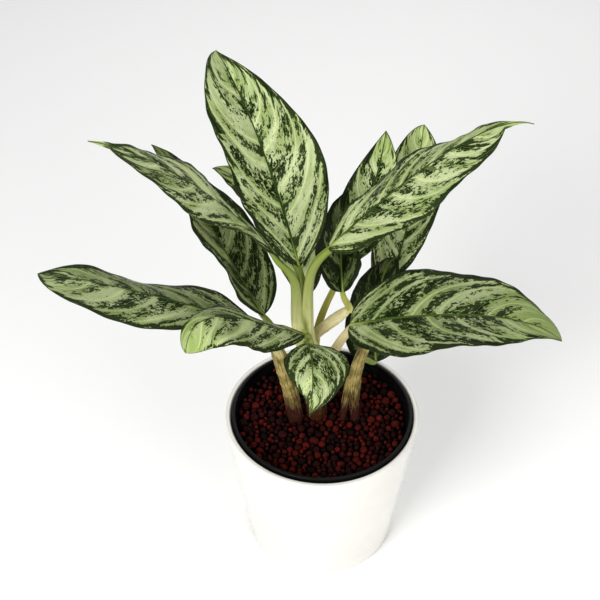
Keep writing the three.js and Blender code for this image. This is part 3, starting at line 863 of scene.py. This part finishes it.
def blade(leaf, draw):
    """The shape of a closed blade, which of its points lie on the lower face, and which of its
    faces are edge walls."""
    place, normal, s, across, marks = blade_surface(leaf, draw)
    t = np.linspace(-1, 1, COLUMNS)[None]
    thick = even(HALF_THICKNESS, t ** 4) + 0 * s
    channel = even(CHANNEL_DEPTH, s) * np.exp(-(across / CHANNEL_HALF) ** 2)
    ridge = even(RIDGE_HEIGHT, s) * np.exp(-(across / even(RIDGE_HALF, s)) ** 2)
    upper = place + normal * (thick - channel)[..., None]
    lower = place - normal * (thick + ridge)[..., None]
    count = ROWS * COLUMNS
    top = grid_faces(ROWS, COLUMNS)[:, ::-1]
    bottom = grid_faces(ROWS, COLUMNS) + count
    right = np.arange(ROWS) * COLUMNS
    left = right + COLUMNS - 1
    start = np.arange(COLUMNS)
    end = start + count - COLUMNS
    walls = []
    for rim in (right[::-1], left, start, end[::-1]):
        walls.append(np.stack([rim[:-1], rim[1:], rim[1:] + count, rim[:-1] + count], -1))
    walls = np.concatenate(walls)
    points = np.concatenate([upper.reshape(-1, 3), lower.reshape(-1, 3)])
    marks = {key: np.tile(value.reshape(-1, 3), (2, 1)) for key, value in marks.items()}
    under = np.repeat([0.0, 1.0], count)
    flat = np.repeat([False, True], [len(top) + len(bottom), len(walls)])
    return (points, [*top, *bottom, *walls], marks), under, flat


print("points of a closed blade:", 2 * ROWS * COLUMNS)

# %% [markdown]
# A petiole is a half-open pipe: round below, with a channel above that deepens into a sheath
# towards the cane. It starts inside its cane, ends under the blade, and tapers into the ridge of
# the midrib. The sheaths of the three top leaves are long: they run down the main stem side by
# side, and the crease between them, with its shade painted dark green, is what makes the stem look
# rolled.

# %% Petiole surface
PETIOLE_SIDES = 28
UNDER_BLADE = 0.14
SHEATHS = {"upper_left": ((-18.5, 3, 236), 6.3), "upper_right": ((-9, 3.5, 236), 6.2),
           "crown": ((-16, 7, 262), 5)}


def petiole_line(leaf, sheath_foot=None, sheath_radius=0):
    """The middle line runs from the cane to the blade, sinks below the blade's plane before it
    gets there, and goes on under it for a seventh of the midrib. A sheath is more line below
    the root. With it come each row's radius, its share of the way to the blade and of the way
    under it, and the direction that is up at the blade."""
    root, leave = np.array(leaf["root"], float), unit(np.array(leaf["leave"], float))
    base = np.array(leaf["midrib"][0], float)
    reach = np.linalg.norm(base - root)
    rib_line, rib_ahead, _ = by_length(leaf["midrib"], np.linspace(0, UNDER_BLADE, 16))
    rib_up = upward(rib_ahead)
    arrive = unit(np.array(leaf.get("arrive", rib_ahead[0]), float))
    curve = [root, root + 0.4 * reach * leave, base - 0.35 * reach * arrive, base]
    share = np.linspace(0, 1, 46)
    line = by_length(curve, share)[0]
    radius = even(leaf["stalk"], share ** 1.5)
    sink = 0.85 * radius[-1]
    line -= rib_up[:1] * (sink * np.clip((share - 0.6) / 0.4, 0, 1) ** 2)[:, None]
    under = np.linspace(0, 1, 16)[1:]
    thin = radius[-1] * (1 - 0.7 * under)
    below = sink + (thin + 0.6 - sink) * np.minimum(4 * under, 1)
    line = np.concatenate([line, rib_line[1:] - rib_up[1:] * below[:, None]])
    radius = np.concatenate([radius, thin])
    along = np.concatenate([share, 1 + 0 * under])
    if sheath_foot is not None:
        foot = np.array(sheath_foot, float)
        height = np.linalg.norm(root - foot)
        low = [foot, foot + 0.4 * height * leave, root - 0.4 * height * leave, root]
        step = np.linspace(0, 1, 24)[:-1]
        line = np.concatenate([by_length(low, step)[0], line])
        radius = np.concatenate([even((sheath_radius, radius[0]), step), radius])
        along = np.concatenate([0 * step, along])
    hidden = np.concatenate([np.zeros(len(line) - len(under)), under])
    return line, radius, along, hidden, rib_up[0]


def petiole(leaf, *sheath):
    """The petiole's shape, and how far along it each point is. The radius is cut by a channel,
    a bell curve round the side that faces up, and raised by a wing on either side of it. Both
    are strongest at the cane and fade out under the blade."""
    line, radius, along, hidden, up = petiole_line(leaf, *sheath)
    a = np.linspace(0, 2 * np.pi, PETIOLE_SIDES, endpoint=False)
    a = np.minimum(a, 2 * np.pi - a)[None]
    open_share = np.clip(1 - 1.6 * along, 0, 1)[:, None]
    channel = (0.22 + 0.15 * open_share) * np.exp(-(a / 0.5) ** 2)
    wings = (0.06 + 0.2 * open_share) * np.exp(-((a - 0.85) / 0.3) ** 2)
    grooved = radius[:, None] * (1 + (wings - channel) * (1 - hidden[:, None]))
    return tube(line, grooved, up), np.concatenate([np.repeat(along, PETIOLE_SIDES), [0, 1]])


print("petiole sides:", PETIOLE_SIDES)

# %% [markdown]
# ## The finish of a blade
#
# The pattern is the point of this plant. The ground is a pale silver-green. Dark green islands
# with ragged edges lie in rows between the side veins, thickest beside the midrib and along
# the margin, with an olive smear round them. The side veins are soft yellow-green stripes, and
# hair-fine pale veins run beside them and cut the islands into bits. A thin dark line closes
# the edge. A picture would stretch on the waved blade, so the pattern is drawn from marks that
# every point of the blade carries in millimetres: how far along and across it lies, how far
# from the margin, and between which side veins.
#
# The blade is a living leaf under a thin wax layer, which gives a soft, broad sheen.

# %% Marks on the blade
blade_skin, tree, shader = new_material("waxy_variegated_leaf")
marks_read = []
for mark_name in ("veins", "share", "kind"):
    mark = add_node(tree, "Attribute", attribute_name=mark_name)["Vector"]
    marks_read.append(add_node(tree, "SeparateXYZ", {0: mark}))
along_mm, across_mm, margin_mm = marks_read[0]
tip_share, plain, lateral = marks_read[1]
draw, tone_and_shade, under = marks_read[2]
pattern_space = add_node(tree, "CombineXYZ", {0: along_mm, 1: across_mm, 2: draw})[0]
print("marks on the blade: veins, share, kind")

# %% Noises that break the pattern up
# The 26 mm noise lays paler patches over the ground, partly the leaf's own uneven ground and
# partly painted sheen.
NOISE_MM = {"island": (3.7, 2.7), "fleck": (1.3, 1.1), "drift": (13, 13), "haze_and_sheen": (26, 26)}
field = {"tone_and_shade": tone_and_shade, "under": under, "margin": margin_mm, "plain": plain}
for key, (wide, long) in NOISE_MM.items():
    scaled = add_node(tree, "VectorMath", {0: pattern_space, 1: (1 / wide, 1 / long, 1.0)},
                      operation="MULTIPLY")[0]
    field[key] = add_node(tree, "TexNoise", {"Vector": scaled, "Scale": 1.0, "Detail": 3.0,
                                             "Roughness": 0.6, "Distortion": 0.4})["Fac"]
field["between"] = add_node(tree, "Math", {0: lateral, 1: 0.5}, operation="PINGPONG")[0]
field["across"] = add_node(tree, "Math", {0: across_mm}, operation="ABSOLUTE")[0]
field["plain_end"] = add_node(tree, "Math", {0: plain, 1: tip_share}, operation="MULTIPLY")[0]
print("noise sizes in mm:", NOISE_MM)

# %% [markdown]
# Where an island lies is a sum. Each term reads one field and goes smoothly from one value to
# another: low beside a side vein and high between two, high near the midrib and the margin,
# low towards the tip of a leaf that ends plain and lower still in its last tenth, and up or
# down over whole regions. Where the sum and a fine noise pass a threshold together, there is
# an island, so its edge is ragged.

# %% Where the islands lie
TERMS = {  # what it reads, from, to, value there, value there
    "row": ("between", 0.04, 0.34, -0.17, 0.08),
    "region": ("drift", 0.3, 0.7, -0.13, 0.12),
    "near_midrib": ("across", 1.0, 9.0, 0.09, 0.0),
    "near_margin": ("margin", 2.0, 7.0, 0.3, 0.0),
    "plain_tip": ("plain", 0.0, 1.0, 0.0, -0.16),
    "plain_end": ("plain_end", 0.6, 0.95, 0.0, -0.3),
    "darker_leaf": ("tone_and_shade", 0.0, 1.0, 0.0, 0.12),
}
level = field["island"]
for source, start, end, low, high in TERMS.values():
    term = add_node(tree, "MapRange", {"Value": field[source], "From Min": start, "From Max": end,
                                       "To Min": low, "To Max": high},
                    interpolation_type="SMOOTHSTEP")[0]
    level = add_node(tree, "Math", {0: level, 1: term}, operation="ADD")[0]
field["level"] = level
field["ragged"] = add_node(tree, "Math", {0: field["fleck"], 1: 0.55, 2: level},
                           operation="MULTIPLY_ADD")[0]
field["speckled"] = add_node(tree, "Math", {0: level, 1: 0.3, 2: field["fleck"]},
                             operation="MULTIPLY_ADD")[0]
print("terms of the island sum:", ", ".join(TERMS))

# %% [markdown]
# The fine veins run beside the side veins, 2.4 mm apart. The soft stripe of a side vein is
# wide on a pale leaf and narrow on a dark one, so its own field is divided by its width.

# %% Veins
FINE_VEIN_MM = 2.4
counted = add_node(tree, "Math", {0: lateral, 1: VEIN_SPACING / FINE_VEIN_MM},
                   operation="MULTIPLY")[0]
field["fine"] = add_node(tree, "Math", {0: counted, 1: 0.5}, operation="PINGPONG")[0]
stripe_half = add_node(tree, "Math", {0: tone_and_shade, 1: -0.07, 2: 0.1}, operation="MULTIPLY_ADD")[0]
field["stripe"] = add_node(tree, "Math", {0: field["between"], 1: stripe_half},
                           operation="DIVIDE")[0]
rib_half = add_node(tree, "Math", {0: tip_share, 1: -1.0, 2: 1.5}, operation="MULTIPLY_ADD")[0]
field["rib"] = add_node(tree, "Math", {0: field["across"], 1: rib_half}, operation="SUBTRACT")[0]
field["rib_foot"] = add_node(tree, "Math", {0: tip_share, 1: 8.0, 2: field["rib"]},
                             operation="MULTIPLY_ADD")[0]
print("fine veins every", FINE_VEIN_MM, "mm")

# %% [markdown]
# The colours are layers, from the ground up. Each one reads a field, which says how much of what
# is below it is covered, and has a colour for a pale leaf and one for a dark leaf. How dark a leaf
# is comes partly from its own colour and partly from painted shade.

# %% Colours of the blade
LAYERS = [  # field, from, to, cover there, cover there, colour if pale, colour if dark
    # Paler patches over the ground: partly the leaf's own unevenness, partly painted sheen.
    ("haze_and_sheen", 0.38, 0.62, 0.0, 1.0, "#c2cd9c", "#37430f"),
    ("plain", 0.0, 1.0, 0.0, 0.5, "#97ad52", "#5f7428"),
    ("level", 0.44, 0.66, 0.0, 0.5, "#697b35", "#111b03"),
    ("stripe", 0.0, 1.0, 0.7, 0.0, "#d9e4a2", "#6b7b2c"),
    ("speckled", 0.73, 0.76, 0.0, 0.75, "#3a4d14", "#1c2a0b"),
    ("ragged", 0.83, 0.85, 0.0, 1.0, "#405a14", "#16220a"),
    ("ragged", 0.85, 0.89, 0.0, 1.0, "#142203", "#0a1204"),
    ("fine", 0.04, 0.13, 0.2, 0.0, "#b9cd80", "#50662a"),
    ("rib", -0.3, 0.3, 1.0, 0.0, "#2f4611", "#56692a"),
    ("rib_foot", -1.2, 0.3, 1.0, 0.0, "#a9b852", "#8ea04c"),
    ("margin", 0.5, 1.4, 0.9, 0.0, "#1c2810", "#141e0a"),
    ("under", 0.0, 1.0, 0.0, 0.6, "#7f9452", "#33451c"),
]
# The ground and every layer go from pale to dark with the leaf's tone, which is partly painted
# shade.
colour = add_node(tree, "Mix", {0: tone_and_shade, 6: linear("#98a86c"), 7: linear("#1f2c06")},
                  data_type="RGBA")[2]
for source, start, end, low, high, pale, dark in LAYERS:
    cover = add_node(tree, "MapRange", {"Value": field[source], "From Min": start,
                                        "From Max": end, "To Min": low, "To Max": high},
                     interpolation_type="SMOOTHSTEP")[0]
    layer = add_node(tree, "Mix", {0: tone_and_shade, 6: linear(pale), 7: linear(dark)},
                     data_type="RGBA")[2]
    colour = add_node(tree, "Mix", {0: cover, 6: colour, 7: layer}, data_type="RGBA")[2]
print("layers of the blade:", ", ".join(layer[0] for layer in LAYERS))

# %% Relief and wax of the blade
relief = add_node(tree, "Math", {0: field["fine"], 1: 1.2, 2: field["fleck"]},
                  operation="MULTIPLY_ADD")[0]
blade_bump = add_node(tree, "Bump", {"Height": relief, "Strength": 0.35, "Distance": 0.0005})
wax = add_node(tree, "MapRange", {"Value": field["drift"], "From Min": 0.3, "From Max": 0.7,
                                  "To Min": 0.5, "To Max": 0.38})[0]
fill_inputs(tree, shader, {"Base Color": colour, "Normal": blade_bump[0], "Roughness": wax,
                           "IOR": 1.42, "Specular IOR Level": 0.1})
print("wax roughness 0.38 to 0.50")

# %% [markdown]
# The petiole has no wax pattern: it is pale and juicy near the cane and turns green towards the
# blade, with fine darker threads. Older petioles differ: one has dried to cream with brown
# threads, and some have gone olive yellow. Where the sheaths of the two top petioles press
# together, the shade of the crease is painted dark green.

# %% Petiole finish
petiole_skin, tree, shader = new_material("juicy_petiole")
space = add_node(tree, "Attribute", attribute_name="around")["Vector"]
kind = add_node(tree, "Attribute", attribute_name="kind")["Vector"]
veins = add_node(tree, "Attribute", attribute_name="veins")["Vector"]
dry_share, olive_share, along_and_shade_share = add_node(tree, "SeparateXYZ", {0: kind})
crease_shade_share = add_node(tree, "SeparateXYZ", {0: veins})[0]
PETIOLE_THREAD_MM = 1.1
THREAD_LENGTH_MM = 22
stretch = (1 / PETIOLE_THREAD_MM, 1 / PETIOLE_THREAD_MM, 1 / THREAD_LENGTH_MM)
long_way = add_node(tree, "Mapping", {"Vector": space, "Scale": stretch})
threads = add_node(tree, "TexNoise", {"Vector": long_way[0], "Scale": 1.0, "Detail": 3.0})["Fac"]
thread_cover = add_node(tree, "MapRange", {"Value": threads, "From Min": 0.48, "From Max": 0.66,
                                           "To Max": 0.5})[0]
# The crease tint is painted shade where the top sheaths meet.
PETIOLE_TINTS = ((along_and_shade_share, "#6f8130"), (olive_share, "#b5ae4a"), (crease_shade_share, "#5f6e1c"),
                 (dry_share, "#bcae80"))
colour = linear("#d0ce90")
for share, tint in PETIOLE_TINTS:
    colour = add_node(tree, "Mix", {0: share, 6: colour, 7: linear(tint)}, data_type="RGBA")[2]
thread_colour = add_node(tree, "Mix", {0: dry_share, 6: linear("#858c3c"), 7: linear("#7a6434")},
                         data_type="RGBA")[2]
colour = add_node(tree, "Mix", {0: thread_cover, 6: colour, 7: thread_colour},
                  data_type="RGBA")[2]
petiole_bump = add_node(tree, "Bump", {"Height": threads, "Strength": 0.4, "Distance": 0.0005})
fill_inputs(tree, shader, {"Base Color": colour, "Normal": petiole_bump[0], "Roughness": 0.45,
                           "Specular IOR Level": 0.25})
print("petiole threads:", PETIOLE_THREAD_MM, "mm")

# %% [markdown]
# The aged petioles are listed as how dry and how olive they are. The two that leave the left cane
# are as dry as the cane where they start, and green from a third of their length. The two in the
# shade at the back are green all along: their darker green is painted shade.

# %% Build the leaves
AGED = {"right": (1, 0), "back_centre": (0, 0.85), "dark_centre": (0, 0.5)}
ON_OLD_CANE = ("far_left", "hanging_left")
IN_SHADE = ("back_right", "behind_right")
CREASE_HIGH, CREASE_LOW = (-17, 283), (-10.8, 236)
CREASE_END = 305
CREASE_HALF = 2.6


def crease(points):
    """How much painted shade the crease gets: a bell curve 4 mm wide about a line in x and z,
    which fades out from 285 to 305 mm up."""
    (x_high, z_high), (x_low, z_low) = CREASE_HIGH, CREASE_LOW
    middle = even((x_low, x_high), (points[:, 2] - z_low) / (z_high - z_low))
    below_end = np.clip((CREASE_END - points[:, 2]) / 20, 0, 1)
    return below_end * np.exp(-((points[:, 0] - middle) / CREASE_HALF) ** 2)


for number, (leaf_name, leaf) in enumerate(LEAVES.items()):
    (points, faces, marks), lower, flat = blade(leaf, number)
    same = np.ones(len(points))
    # The second value is the leaf's tone, partly its own colour and partly painted shade.
    marks["kind"] = np.column_stack([10 * number * same, TONE_AND_SHADE.get(leaf_name, 0) * same, lower])
    marks["around"] = np.zeros((len(points), 3))
    stalk, green = petiole(leaf, *SHEATHS.get(leaf_name, ()))
    stalk_points, stalk_faces, stalk_marks = stalk
    dry, olive = AGED.get(leaf_name, (0, 0))
    at_cane = np.clip(1 - 3 * green, 0, 1) * (leaf_name in ON_OLD_CANE)
    # Painted shade: the petioles in IN_SHADE get the dark green from end to end.
    greening_and_shade = np.maximum(np.sqrt(green), leaf_name in IN_SHADE)
    stalk_marks["kind"] = np.column_stack([np.maximum(dry, at_cane), olive + 0 * green, greening_and_shade])
    stalk_marks["share"] = np.zeros((len(stalk_points), 3))
    # Painted shade along the crease between the top sheaths, carried in the first value of veins.
    painted_crease_shade = crease(stalk_points) * (leaf_name in SHEATHS)
    stalk_marks["veins"] = painted_crease_shade[:, None] * [1, 0, 0]
    piece = make_piece("leaf_" + leaf_name + "_blade", joined([(points, faces, marks), stalk]),
                       [blade_skin, petiole_skin], "leaf_" + leaf_name,
                       np.concatenate([flat, np.zeros(len(stalk_faces), bool)]))
    on_stalk = np.repeat([0, 1], [len(faces), len(stalk_faces)])
    piece.data.polygons.foreach_set("material_index", on_stalk)
